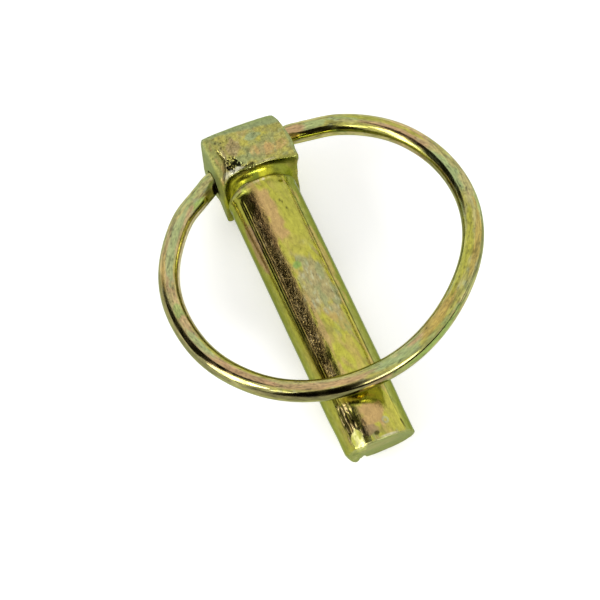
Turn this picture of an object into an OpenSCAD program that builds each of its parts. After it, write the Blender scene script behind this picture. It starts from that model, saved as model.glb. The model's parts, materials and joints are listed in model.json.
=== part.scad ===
// Lynch pin: a cropped round shank with a squarish head, and a spring wire ring hinged through the head.
// The shank lies along -Y with its tip at the far end, +Z is up, and the ring closes over its upper side.
// The origin is on the shank's axis, at the shoulder where the full diameter starts.
// The ring hinges in a hole that slants both along the shank and in depth.

/* [Shank] */
// Diameter of the shank
shank_d = 10; // [8:0.5:12.5]
// Length of the shank, from the shoulder to the middle of its cropped tip
shank_len = 41.2; // [34:0.1:56]
// Slant of the cropped tip, whose upper side is the longer one
tip_slant = 12; // [0:1:20]
// Width of the chamfer round the shoulder
shoulder_edge = 0.3; // [0.1:0.1:0.6]

/* [Neck and dished underside] */
// How much smaller the neck is than the shank, on the radius
neck_step = 0.6; // [0.2:0.1:1]
// Length from the shoulder to the rim of the head's underside
neck_len = 1; // [0.6:0.1:3]
// Slope of the dish that is turned into the underside of the head
dish_slope = 22; // [8:1:30]
// How far the dish reaches out beyond the shank
dish_reach = 2.9; // [1:0.1:4]

/* [Head] */
// Width of the head, across the shank
head_w = 11.5; // [10.5:0.1:16]
// Depth of the head
head_depth = 11.4; // [10.5:0.1:16]
// Length of the head, along the shank
head_len = 8.2; // [8:0.1:12]
// How far the head sits off the shank's axis
head_shift = 0.6; // [0:0.1:1.2]
// Radius of the two long upper edges of the head
crown_r = 1.3; // [0.4:0.1:2]
// Radius of the fuller of the head's two upper corners
full_corner_r = 2.4; // [0.8:0.1:3]
// Radius of the sharper of the head's two upper corners
sharp_corner_r = 1; // [0.4:0.1:2.4]
// Radius of the four edges that run along the shank
side_edge_r = 0.6; // [0.2:0.1:1.5]

/* [Cross hole] */
// Clearance between the ring's wire and the hole, on the radius
hole_clear = 0.35; // [0.1:0.05:0.5]
// Distance from the underside's rim to the middle of the hole
hole_rise = 5.15; // [3.9:0.05:5.4]
// Slant of the hole along the shank
hole_yaw = 8.7; // [0:0.1:10]
// Slant of the hole in depth
hole_tilt = 5.6; // [0:0.1:8]

/* [Ring] */
// Diameter of the spring wire
wire_d = 3; // [2:0.1:3.5]
// Diameter of the ring, at the middle of its wire
ring_d = 42.5; // [34:0.5:55]
// Radius of the bend where each end turns in to the hole, at the middle of the wire
bend_r = 4; // [2:0.1:6]
// Room between the head and the point where each end would meet the unbent ring
bend_room = 1.3; // [0.8:0.1:3]
// How much the wire draws down at each bend, on the radius
bend_thin = 0.03; // [0.02:0.01:0.1]
// Gap between the two wire ends inside the hole
end_gap = 3; // [1:0.1:5]
// Gap that the closed ring keeps over the shank
rest_gap = 0.55; // [0.1:0.05:1]

/* [Hidden] */
$fn = 96;
steel_colour = "darkkhaki";
wire_colour = "burlywood";
far = 100;   // longer than anything that is cut away
bite = 1;    // how far joined shapes run into each other

shank_r = shank_d / 2;
neck_r = shank_r - neck_step;
dish_r = shank_r + dish_reach;
dish_depth = (dish_r - neck_r) * tan(dish_slope);
head_top = neck_len + head_len;
hole_y = neck_len + hole_rise;
hole_r = wire_d / 2 + hole_clear;
hinge_at = [head_shift, hole_y, 0];

// Half the length of the slanting hole, and of the chord that the ring's circle cuts on its line
hole_half = head_w / 2 / (cos(hole_yaw) * cos(hole_tilt));
ring_r = ring_d / 2;
chord_half = hole_half + bend_room;
ring_drop = sqrt(pow(ring_r, 2) - pow(chord_half, 2));
// Each end bend touches the hole's line at bend_x, and turns through bend_turn to meet the ring's circle
bend_x = sqrt(pow(ring_r - bend_r, 2) - pow(ring_drop - bend_r, 2));
bend_turn = 90 - atan2(ring_drop - bend_r, bend_x);
// The thinner bend runs on a little way inside the full wire at both its ends
bend_lap = sqrt(bend_r * bend_thin) / bend_r * 180 / PI;

// A point of the ring's middle line, at an angle round the ring, when the ring is lifted off the XY plane
function ring_point(around, lift) =
    let (
        x = ring_r * cos(around),
        reach = ring_drop - ring_r * sin(around),
        z = reach * sin(lift),
        across = x * cos(hole_tilt) - z * sin(hole_tilt),
        up = x * sin(hole_tilt) + z * cos(hole_tilt),
        along = -reach * cos(lift)
    )
    hinge_at + [
        across * cos(hole_yaw) - along * sin(hole_yaw),
        across * sin(hole_yaw) + along * cos(hole_yaw),
        up
    ];

// Free space between the lifted ring and the shank, less the gap that the closed ring keeps
function spare(lift) =
    min([
        for (around = [-150 : 1 : -30])
            let (p = ring_point(around, lift))
                norm([p.x, p.z]) - shank_r - wire_d / 2 - rest_gap
    ]);

// The lift at which the ring closes on the shank, halving the range until it is found
function closed_lift(low, high, steps) =
    steps == 0 ? high
    : spare((low + high) / 2) > 0 ? closed_lift(low, (low + high) / 2, steps - 1)
    : closed_lift((low + high) / 2, high, steps - 1);

lift = closed_lift(0, 40, 24);

// Things drawn in the hinge's own frame: X along the hole, -Y out over the shank
module on_hinge() {
    translate(hinge_at)
        rotate([0, -hole_tilt, hole_yaw])
            children();
}

// A bar along -Y from one place on the shank's axis to another
module along_shank(from, to, r) {
    translate([0, from, 0])
        rotate([90, 0, 0])
            cylinder(h = from - to, r = r);
}

// A rectangle whose corners may each have their own radius: low left, low right, high right, high left
module rounded_plate(low, high, radii) {
    corners = [low, [high.x, low.y], high, [low.x, high.y]];
    inward = [[1, 1], [-1, 1], [-1, -1], [1, -1]];
    difference() {
        translate(low)
            square(high - low);
        for (i = [0 : 3])
            if (radii[i] > 0)
                difference() {
                    translate(corners[i] - inward[i] * bite)
                        corner_square(inward[i], radii[i] + bite);
                    translate(corners[i] + inward[i] * radii[i])
                        circle(r = radii[i]);
                }
    }
}

// A square that grows from the origin in the directions given by the signs of inward
module corner_square(inward, size) {
    translate([inward.x < 0 ? -size : 0, inward.y < 0 ? -size : 0])
        square(size);
}

// The head seen from above, from the end and from the side, each as a long bar
module head_block() {
    left = head_shift - head_w / 2;
    right = head_shift + head_w / 2;
    deep = head_depth / 2;
    intersection() {
        translate([0, 0, -deep])
            linear_extrude(head_depth)
                rounded_plate([left, neck_len], [right, head_top], [0, 0, full_corner_r, sharp_corner_r]);
        translate([0, far / 2, 0])
            rotate([90, 0, 0])
                linear_extrude(far)
                    rounded_plate([left, -deep], [right, deep], [for (i = [0 : 3]) side_edge_r]);
        translate([-far / 2, 0, 0])
            rotate([90, 0, 90])
                linear_extrude(far)
                    rounded_plate([neck_len, -deep], [head_top, deep], [0, crown_r, crown_r, 0]);
    }
}

// The shallow cone turned into the head's underside, which breaks out through the head's flat faces
module dish() {
    rotate([-90, 0, 0])
        rotate_extrude()
            polygon([
                [0, neck_len - bite],
                [dish_r, neck_len - bite],
                [dish_r, neck_len],
                [neck_r, neck_len + dish_depth],
                [0, neck_len + dish_depth]
            ]);
}

module turned_shank() {
    along_shank(neck_len + dish_depth + bite, -bite, neck_r);
    rotate([90, 0, 0])
        cylinder(h = shoulder_edge, r1 = shank_r - shoulder_edge, r2 = shank_r);
    along_shank(-shoulder_edge, -far, shank_r);
}

// What the cropping shear takes off beyond the slanted tip
module cropped_off() {
    translate([0, -shank_len, 0])
        rotate([tip_slant, 0, 0])
            translate([-far, -2 * far, -far])
                cube(2 * far);
}

module cross_hole() {
    on_hinge()
        rotate([0, 90, 0])
            cylinder(h = far, r = hole_r, center = true);
}

module pin_body() {
    color(steel_colour)
        difference() {
            union() {
                difference() {
                    head_block();
                    dish();
                }
                turned_shank();
            }
            cropped_off();
            cross_hole();
        }
}

// One end of the wire: a straight stub in the hole, and the drawn bend that leads it on to the ring
module wire_end() {
    translate([end_gap / 2, 0, 0])
        rotate([0, 90, 0])
            cylinder(h = bend_x - end_gap / 2, d = wire_d);
    translate([bend_x, -bend_r, 0])
        rotate([0, 0, 90 - bend_turn - bend_lap])
            rotate_extrude(angle = bend_turn + 2 * bend_lap)
                translate([bend_r, 0])
                    circle(d = wire_d - 2 * bend_thin);
}

module spring_ring() {
    color(wire_colour)
        on_hinge()
            rotate([-lift, 0, 0]) {
                wire_end();
                mirror([1, 0, 0])
                    wire_end();
                translate([0, -ring_drop, 0])
                    rotate([0, 0, 90 + bend_turn])
                        rotate_extrude(angle = 360 - 2 * bend_turn)
                            translate([ring_r, 0])
                                circle(d = wire_d);
            }
}

pin_body();
spring_ring();
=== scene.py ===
"""A lynch pin with its spring ring, both yellow zinc plated, on a pale floor in soft studio light."""

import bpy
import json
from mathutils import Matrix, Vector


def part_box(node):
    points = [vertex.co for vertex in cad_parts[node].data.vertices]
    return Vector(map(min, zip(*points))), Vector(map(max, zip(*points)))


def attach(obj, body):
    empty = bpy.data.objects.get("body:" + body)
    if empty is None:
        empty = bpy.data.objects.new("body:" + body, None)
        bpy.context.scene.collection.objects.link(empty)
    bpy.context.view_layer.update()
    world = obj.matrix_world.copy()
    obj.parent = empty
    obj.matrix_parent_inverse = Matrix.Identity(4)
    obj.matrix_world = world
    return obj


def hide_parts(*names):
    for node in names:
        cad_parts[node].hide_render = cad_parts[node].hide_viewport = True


bl_info = {
    "name": "Lynch pin",
    "version": (1, 0, 0),
    "blender": (4, 5, 0),
    "location": "3D View > Sidebar > Lynch Pin",
    "description": "Makes the plated shank, head and spring ring of a lynch pin, and a studio round them",
    "category": "Object",
}

import json
import math

import bpy
import numpy as np
from mathutils import Matrix, Vector

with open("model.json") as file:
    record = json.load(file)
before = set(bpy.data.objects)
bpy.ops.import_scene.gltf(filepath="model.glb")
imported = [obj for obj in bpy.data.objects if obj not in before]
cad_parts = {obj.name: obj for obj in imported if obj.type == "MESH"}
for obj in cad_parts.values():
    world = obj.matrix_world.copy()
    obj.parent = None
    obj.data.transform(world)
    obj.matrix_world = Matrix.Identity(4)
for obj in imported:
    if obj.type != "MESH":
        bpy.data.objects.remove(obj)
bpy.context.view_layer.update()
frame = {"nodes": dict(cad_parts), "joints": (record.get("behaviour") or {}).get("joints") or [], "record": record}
MM = 0.001
SHANK = next(m for m in frame["record"]["mounts"] if m["name"] == "shank")
HINGE = next(j for j in frame["joints"] if j["name"] == "ring_swing")
WIRE_RADIUS = 1.5
RING_RADIUS = 21.25


# ---------------- settings


def length(name, description, default):
    return bpy.props.FloatProperty(name=name, description=description, default=default, unit="LENGTH")


def angle(name, description, degrees):
    turn = math.radians(degrees)
    return bpy.props.FloatProperty(name=name, description=description, default=turn, subtype="ANGLE")


def shade(name, description, default):
    return bpy.props.FloatVectorProperty(
        name=name, description=description, default=default, subtype="COLOR"
    )


class PinSettings(bpy.types.PropertyGroup):
    """Sizes of the forged head and the round shank."""

    cell: length("Cell", "Size of the faces on the head and the tip", 0.135 * MM)
    long_cell: length("Long cell", "Length of the faces along the middle of the shank", 0.35 * MM)
    neck_radius: length("Neck radius", "Radius of the neck under the head", 4.3 * MM)
    rim_y: length("Underside", "From the shoulder to the corners of the head's underside", 1.0 * MM)
    dish_slope: angle("Dish slope", "Slope of the dish under the head", 24)
    crown: length("Crown", "Radius of the upper edge of the head, at its middle", 1.55 * MM)
    full_corner: length("Cut corner", "Radius on the upper corner that is cut off", 1.3 * MM)
    sharp_corner: length("Sharp corner", "Radius of the sharper upper corner", 1.0 * MM)
    side_edge: length("Side edges", "Radius of the edges that run along the shank", 0.5 * MM)
    crown_skew: angle("Crown skew", "How far the top of the head is out of square", 1.9)
    hole_radius: length("Hole radius", "Radius of the cross hole", 1.85 * MM)
    crop_slant: angle("Crop slant", "Slant of the cropped tip", 12)


class RingSettings(bpy.types.PropertyGroup):
    """Sizes of the bent wire ring."""

    wire: length("Wire", "Diameter of the wire", 2 * WIRE_RADIUS * MM)
    across: length("Across", "Diameter of the ring at the middle of its wire", 2 * RING_RADIUS * MM)
    bend: length("Bend", "Radius of the bends into the hole", 4.0 * MM)
    chord: length("Chord", "Half the chord that the ring cuts on the hole's line", 7.145 * MM)
    end_gap: length("End gap", "Gap between the two ends in the hole", 3.0 * MM)
    sides: bpy.props.IntProperty(name="Sides", description="Faces round the wire", default=48, min=8)


class FinishSettings(bpy.types.PropertyGroup):
    """Main colours of the yellow zinc plating."""

    olive: shade("Olive", "Main colour of the plating", (0.475, 0.44, 0.08))
    straw: shade("Straw", "Paler film of the drawn wire", (0.45, 0.405, 0.16))
    tan: shade("Tan", "Thicker film, pinkish tan", (0.525, 0.352, 0.138))
    moss: shade("Moss", "Duller film, dark yellow green", (0.29, 0.28, 0.062))
    grey: shade("Grey green", "Dull film on rough and rounded faces", (0.30, 0.34, 0.14))
    # laid only as a painted highlight along the edge of the cropped end
    bare: shade("Bare", "Rubbed edges, nearly bare zinc", (0.62, 0.58, 0.38))
    # a dark colour for real marks, also laid as painted shade in the lap's groove, the die lines, the pits and the
    # cross hole
    soil_and_shade: shade("Soil", "Dark pits and folds", (0.045, 0.038, 0.012))


class StudioSettings(bpy.types.PropertyGroup):
    """The floor and the camera."""

    floor: shade("Floor", "Colour of the floor", (0.92, 0.92, 0.92))
    lens: bpy.props.FloatProperty(name="Lens", description="Focal length in millimetres", default=159.13)


# ---------------- shader and geometry networks


class Signal:
    """One output socket of a node, so that shader maths is written as sums."""

    def __init__(self, net, socket):
        self.net = net
        self.socket = socket

    def maths(self, operation, first, second):
        return self.net.add("ShaderNodeMath", {"operation": operation}, {0: first, 1: second})

    def __add__(self, other):
        return self.maths("ADD", self, other)

    def __sub__(self, other):
        return self.maths("SUBTRACT", self, other)

    def __rsub__(self, other):
        return self.maths("SUBTRACT", other, self)

    def __mul__(self, other):
        return self.maths("MULTIPLY", self, other)

    __radd__ = __add__
    __rmul__ = __mul__


class Net:
    """Adds nodes to one node tree."""

    def __init__(self, tree):
        self.tree = tree

    def add(self, kind, settings=None, values=None, output=0):
        """One node: its settings first, then the values or links of its sockets, by name or number."""
        node = self.tree.nodes.new(kind)
        for name, value in (settings or {}).items():
            setattr(node, name, value)
        for key, value in (values or {}).items():
            if isinstance(value, Signal):
                self.tree.links.new(value.socket, node.inputs[key])
            else:
                node.inputs[key].default_value = value
        return Signal(self, node.outputs[output]) if len(node.outputs) else None

    def step(self, value, low, high):
        """0 below low and 1 above high, or the other way round, with a smooth turn between them."""
        limits = {"Value": value, "From Min": low, "From Max": high}
        return self.add("ShaderNodeMapRange", {"interpolation_type": "SMOOTHSTEP"}, limits)

    def shaded(self, colour, share):
        """A colour with each of its parts multiplied by share."""
        how = {"data_type": "RGBA", "blend_type": "MULTIPLY", "clamp_factor": True}
        return self.add("ShaderNodeMix", how, {0: 1.0, 6: colour, 7: share}, output=2)

    def grain(self, place, size, detail=2.0, rough=0.5, warp=0.0):
        """Noise round 0.5 whose lumps are about size across, in metres."""
        values = {"Vector": place, "Scale": 1 / size, "Detail": detail}
        return self.add("ShaderNodeTexNoise", {}, {**values, "Roughness": rough, "Distortion": warp})

    def seen(self):
        """1 for what the camera sees directly, in metal or through glass, and 0 for light on a surface."""
        node = self.tree.nodes.new("ShaderNodeLightPath")
        camera, metal, glass = (
            Signal(self, node.outputs[f"Is {kind} Ray"]) for kind in ("Camera", "Glossy", "Transmission")
        )
        direct = camera.maths("MAXIMUM", camera, metal)
        return direct.maths("MAXIMUM", direct, glass)


def placed(name, data):
    """A new object in the scene that shows some data."""
    thing = bpy.data.objects.new(name, data)
    bpy.context.scene.collection.objects.link(thing)
    return thing


def mesh_object(name, points, edges=(), faces=()):
    """A new object made from points in metres."""
    mesh = bpy.data.meshes.new(name)
    mesh.from_pydata(points, edges, faces)
    return placed(name, mesh)


def blank(name):
    """A new material whose nodes are cleared, and the net that adds to them."""
    material = bpy.data.materials.new(name)
    material.use_nodes = True
    material.node_tree.nodes.clear()
    return material, Net(material.node_tree)


# ---------------- sculpting with distances, in millimetres


def cut_corner(a, b, r):
    """What two forms share, with the edge where they cross rounded to r."""
    return np.minimum(np.maximum(a, b), -r) + np.hypot(np.maximum(a + r, 0), np.maximum(b + r, 0))


def fill_corner(a, b, r):
    """Two forms joined, with the inside corner where they meet filled to r."""
    return np.maximum(np.minimum(a, b), r) - np.hypot(np.maximum(r - a, 0), np.maximum(r - b, 0))


def ramp(value, low, high):
    """0 at low and 1 at high, or the other way round, with a smooth turn between them."""
    t = np.clip((value - low) / (high - low), 0, 1)
    return t * t * (3 - 2 * t)


def ridge(away, width):
    """A smooth ridge 1 high and about twice width across, from the distance to its line."""
    return np.exp(-((away / width) ** 2))


PERIOD = 32
LATTICE = np.random.default_rng(11).uniform(-1, 1, (PERIOD, PERIOD, PERIOD))


def lumps(p, size, shift=0.0):
    """Smooth random lumps about size across, from -1 to 1."""
    q = p / size + shift
    base = np.floor(q).astype(int)
    t = q - base
    t = t * t * (3 - 2 * t)
    total = 0
    for corner in range(8):
        step = np.array([corner & 1, corner >> 1 & 1, corner >> 2 & 1])
        share = np.prod(np.where(step, t, 1 - t), axis=1)
        at = (base + step) % PERIOD
        total = total + share * LATTICE[at[:, 0], at[:, 1], at[:, 2]]
    return total


def near_line(x, y, points):
    """Distance in the XY plane from a line through points."""
    best = np.full(x.shape, 1e9)
    for (ax, ay), (bx, by) in zip(points, points[1:]):
        dx, dy = bx - ax, by - ay
        t = np.clip(((x - ax) * dx + (y - ay) * dy) / (dx * dx + dy * dy), 0, 1)
        best = np.minimum(best, np.hypot(x - ax - t * dx, y - ay - t * dy))
    return best


# places on the head's upper face: where the forging folded over, the left side of the fold, the
# underside's edge, and the scar above it
LAP_LINE = [(-3.82, 6.23), (-3.47, 4.56), (-3.82, 3.43), (-4.24, 2.55), (-4.69, 1.69), (-4.98, 1.08)]
FOLD_LINE = [(-3.86, 5.23), (-4.07, 4.03), (-4.28, 3.27), (-4.76, 2.21)]
UNDERSIDE = [(-4.52, 0.96), (-2.31, 1.5), (-0.11, 2.0), (1.73, 2.0)]
UNDERSIDE += [(3.61, 1.7), (5.18, 1.45), (6.09, 1.22)]
SCAR = [(-2.1, 2.0), (-0.1, 2.4)]


def head_marks(p):
    """How deep the pits and the lap go into the upper face of the head."""
    x, y, z = p.T
    face = ramp(z, 4.2, 5.0)
    away = near_line(x, y, LAP_LINE)
    groove = 0.2 * ridge(away + 0.02, 0.2) * ramp(y, 8.0, 6.0)
    lip = 0.13 * ridge(near_line(x - 0.28, y, LAP_LINE), 0.15) * ramp(y, 7.6, 5.6)
    lip = lip + 0.1 * ridge(near_line(x, y, FOLD_LINE), 0.13)
    left_of_lap = ramp(near_line(x + 0.5, y, LAP_LINE), 0.35, 0.0)
    dots = 0.16 * left_of_lap * ramp(lumps(p, 0.5, 6.2), 0.1, 0.5)
    return face * (groove + 0.3 * pitting(p) + dots - lip)


def crown_roll(x, y, s):
    """Distance above the skewed top of the head, and how far its edge is rolled over, more to the right."""
    roll = np.clip(s.crown + 0.2 * x, 0.6, 2.8)
    above = y - s.top_y + (x + 5.1) * math.tan(s.skew) - 0.38 * (roll - 0.95)
    return above - 0.09 * ramp(x, -5, -2) - 0.12 * np.maximum(1 - (x / 5) ** 2, 0), roll


def pitting(p):
    """From 0 to 1: the two pitted places on the upper face of the head."""
    x, y, z = p.T
    ragged = lumps(p, 0.29, 3.1) + 0.9 * lumps(p, 0.17, 9.4)
    first = ramp(-np.hypot((x + 2.55) / 1.25, (y - 3.3) / 1.5), -1.2, -0.5)
    second = ramp(-np.hypot((x + 0.75) / 1.3, (y - 2.25) / 0.45), -1.2, -0.4)
    third = ramp(-np.hypot((x + 2.6) / 1.6, (y - 7.4) / 0.5), -1.1, -0.3)
    spread = np.maximum(np.maximum(first, 0.9 * second), 0.35 * third)
    return ramp(0.6 * spread + 0.8 * ragged, 0.42, 0.62) * ramp(spread, 0.1, 0.4) * ramp(z, 4.7, 5.1)


def slope_marks(p):
    """The hammered slope between the pits and the underside."""
    x, y, z = p.T
    lie = (z - 5.5) * 0.76 - (y - 2.0) * 0.65 + 0.10 * lumps(p, 0.7, 2.7)
    inside = ramp(x, -4.3, -3.8) * ramp(x, -1.2, -2.1)
    return lie - 3.0 * (1 - inside)


def dish_distance(x, y, z, s):
    """Distance below the dished underside of the head, which stops short of the left face."""
    out = np.hypot((x + 0.45) * (1 + 0.6 * ramp(-x, 3.5, 5.0)), z)
    return (s.rim_y + np.maximum(8.1 - out, 0) * math.tan(s.dish_slope) - y) * math.cos(s.dish_slope)


# degrees round the shank from its upper side, width in degrees and depth of each
DIE_LINES = [(-42, 1.6, 0.06), (43.3, 1.3, 0.035), (-37.5, 1.5, 0.03), (-46, 1.5, 0.03)]


def form_of_pin(p, s, bare=False):
    """Signed distance from the pin, or from its bare form. s holds the sizes in millimetres."""
    x, y, z = p.T
    rad = np.hypot(x, z)

    def wander(amount, size, shift):
        return 0.0 if bare else amount * lumps(p, size, shift)

    uneven = wander(0.05, 5.0, 0.0) + wander(0.03, 1.9, 4.0) + wander(0.012, 0.6, 2.2)

    # the head: four sides, the crown and the dished underside
    right = (x - s.high[0] - 0.03 + 0.18 * ramp(y, 3.6, 2.2)) * 0.999 - (z - 3.0) * 0.045
    left = -(x + 5.0) - 0.07 * (y - 1.0) - 0.025 * (5.0 - z)
    left = np.maximum(left, -(x - s.low[0] + 0.1 + 0.42 * ramp(y, 4, 6.5)))
    upper = z - s.high[2]
    lower = -z - s.high[2]
    crown, roll = crown_roll(x, y, s)
    clipped = (x - 5.4) * 0.918 + (y - 8.7) * 0.396
    plan = np.maximum(cut_corner(crown, left, s.sharp_corner), cut_corner(right, clipped, 1.5))
    plan = np.maximum(plan, cut_corner(clipped, crown, s.full_corner))
    sides = np.maximum(
        cut_corner(right, np.maximum(upper, lower), s.side_edge),
        cut_corner(left, np.maximum(upper, lower), s.side_edge + 0.5 * ramp(y, 1.0, 4.0)),
    )
    long_edges = cut_corner(crown, np.maximum(upper, lower), roll)
    head = np.maximum(np.maximum(plan, sides), long_edges) + uneven
    under = dish_distance(x, y, z, s)
    if not bare:
        head = head + head_marks(p)
    head = cut_corner(head, under + wander(0.05, 1.8, 7.7), 0.17)
    head = cut_corner(head, slope_marks(p), 0.05)

    # the neck and the shank, with the lines the drawing die left on it and a shallow groove at its shoulder
    neck = np.maximum(rad - s.neck_radius, np.abs(y - 1.5) - 3.0)
    around = np.degrees(np.arctan2(x, z))
    die = sum(depth * ridge(around - at, width) for at, width, depth in DIE_LINES)
    body = rad - s.shank + 0.1 * ramp(-y, 34, 38) + die * ramp(y, -0.8, -2.5) + wander(0.012, 4.0, 5.5)
    body = body + 0.05 * ridge(y + 0.75, 0.35)
    shank = cut_corner(body, y - 0.3 - 0.2 * ramp(-x, 0, 3) + wander(0.05, 1.2, 8.8), 0.3)
    form = fill_corner(head, neck, 2.0)
    form = np.minimum(form, shank)

    # the cropped tip
    end = crop_distance(x, y, z, s)
    lobe = 0.52 * ramp(-np.hypot((x + 3.75) / 1.2, (z + 1.8) / 2.8), -1.0, -0.25)
    notch = 0.5 * ramp(-np.hypot((x + 2.2) / 0.4, (z + 4.2) / 1.4), -1.0, -0.3)
    end = end - lobe + notch + wander(0.05, 1.3, 1.3)
    rim = 0.2 + 0.55 * ramp(-x, 2.6, 4.6)
    form = cut_corner(form, end, rim)
    chip = (z - 4.0) * 0.83 - (x + 2.9) * 0.30 - (y + 41.2) * 0.36 + wander(0.2, 0.6, 5.1)
    chip = chip - 2.0 * ramp(np.abs(y + 40.9), 1.5, 2.2) - 2.0 * ramp(x, -2.5, -1.9) - ramp(-x, 3.3, 3.7)
    form = cut_corner(form, chip, 0.05)
    form = np.maximum(form, tip_pits(x, y, z))

    return cut_corner(form, hole_radius(x, y, z, s) - hole_distance(p, s), 0.12)


def crop_distance(x, y, z, s):
    """How far beyond the cropped end a point lies."""
    return -(y + s.crop_y + 0.03 * x - 0.05) * math.cos(s.slant) - z * math.sin(s.slant)


def tip_pits(x, y, z):
    """The round pit and the short gash near the cropped end."""
    pit = 0.27 - np.sqrt(((x + 0.4) / 1.2) ** 2 + (y + 41.1) ** 2 + (z - 5.05) ** 2)
    gash = 0.1 - np.hypot(near_line(x, y, [(3.5, -40.1), (3.72, -41.4)]), (z - 3.55) / 1.5)
    return np.maximum(pit, gash)


def hole_radius(x, y, z, s):
    """The cross hole, its left mouth torn wider towards the shank."""
    return s.hole_radius + ramp(-x, 3.7, 5.2) * (0.7 * ramp(6.0 - y + 0.4 * z, 0, 1.6) - 0.12)


def hole_distance(p, s):
    """Distance from the middle line of the cross hole."""
    px, py, pz = (p - s.hinge).T
    along = px * s.axis[0] + py * s.axis[1] + pz * s.axis[2]
    return np.sqrt(np.maximum(px * px + py * py + pz * pz - along * along, 0))


class Coats:
    """The colour of the film on a piece's points, laid on coat by coat."""

    def __init__(self, first, count):
        self.colour = np.tile(np.array(first), (count, 1))

    def lay(self, colour, share):
        self.colour = self.colour + (np.array(colour) - self.colour) * np.clip(share, 0, 1)[:, None]


class Film:
    """Colours of the film by place, thicker and thinner, and colours of painted highlights and painted shade."""

    face = (0.40, 0.36, 0.115)
    face_speck = (0.31, 0.34, 0.15)
    face_brown = (0.36, 0.26, 0.13)
    face_green = (0.29, 0.34, 0.15)
    face_rubbed = (0.52, 0.48, 0.24)
    dark_grit = (0.07, 0.06, 0.02)
    brown_grit = (0.12, 0.11, 0.035)
    # painted shade in the pits
    pit = (0.012, 0.011, 0.005)
    beside_lap = (0.31, 0.32, 0.10)
    lap_lip_highlight = (0.50, 0.44, 0.22)
    left_side = (0.26, 0.30, 0.135)
    crown = (0.295, 0.35, 0.165)
    crown_patch = (0.31, 0.38, 0.20)
    underside_edge_highlight = (0.60, 0.52, 0.30)
    # painted highlight on the hammered slope
    hammered = (0.70, 0.68, 0.50)
    # painted shade on the underside of the head
    dish = (0.24, 0.25, 0.05)
    neck = (0.43, 0.41, 0.025)
    neck_left = (0.36, 0.37, 0.03)
    neck_right_shade = (0.20, 0.235, 0.04)
    neck_shade = (0.15, 0.18, 0.02)
    neck_green_shade = (0.17, 0.21, 0.025)
    neck_highlight = (0.62, 0.60, 0.04)
    shoulder = (0.30, 0.28, 0.04)
    shoulder_foot_shade = (0.09, 0.065, 0.01)
    # painted highlight along the shoulder's edge, with its greener, paler and browner bits below
    edge = (0.95, 0.80, 0.48)
    edge_highlight_green = (0.52, 0.62, 0.30)
    edge_highlight_right = (0.33, 0.44, 0.24)
    edge_highlight_pale = (0.84, 0.76, 0.52)
    edge_highlight_break = (0.30, 0.22, 0.05)
    painted_glint_fringe = (0.35, 0.39, 0.06)
    painted_glint = (0.85, 0.90, 0.14)
    wiped = (0.50, 0.48, 0.065)
    wiped_amber = (0.50, 0.39, 0.12)
    left_flank = (0.235, 0.235, 0.035)
    left_flank_grey = (0.28, 0.29, 0.08)
    right_flank = (0.26, 0.285, 0.075)
    streak = (0.47, 0.32, 0.12)
    streak_fleck = (0.50, 0.40, 0.22)
    red = (0.49, 0.31, 0.12)
    lime = (0.44, 0.425, 0.07)
    rubbed = (0.41, 0.355, 0.165)
    rubbed_green = (0.33, 0.35, 0.155)
    scratch = (0.54, 0.54, 0.33)
    green = (0.24, 0.38, 0.10)
    shank_pink = (0.52, 0.36, 0.15)
    shank_amber = (0.52, 0.40, 0.11)
    shank_brown = (0.32, 0.205, 0.11)
    tip_brown = (0.33, 0.23, 0.12)
    scored = (0.52, 0.40, 0.18)
    round_mark = (0.46, 0.47, 0.28)
    cropped = (0.29, 0.31, 0.12)
    cropped_tan = (0.40, 0.35, 0.16)
    under_ring = (0.38, 0.39, 0.05)
    chip = (0.62, 0.60, 0.24)
    chip_moss = (0.36, 0.36, 0.05)
    wire_pink = (0.505, 0.35, 0.17)
    wire_green = (0.325, 0.40, 0.145)
    wire_pale = (0.40, 0.43, 0.24)
    wire_yellow = (0.46, 0.42, 0.09)
    wire_outside_shade = (0.225, 0.22, 0.075)


def spot(a, b, middle, reach, ragged=0.0):
    """From 0 to 1 inside an oval of two coordinates, with a ragged edge."""
    away = np.hypot((a - middle[0]) / reach[0], (b - middle[1]) / reach[1])
    return ramp(-away + ragged, -1.15, -0.75)


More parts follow.
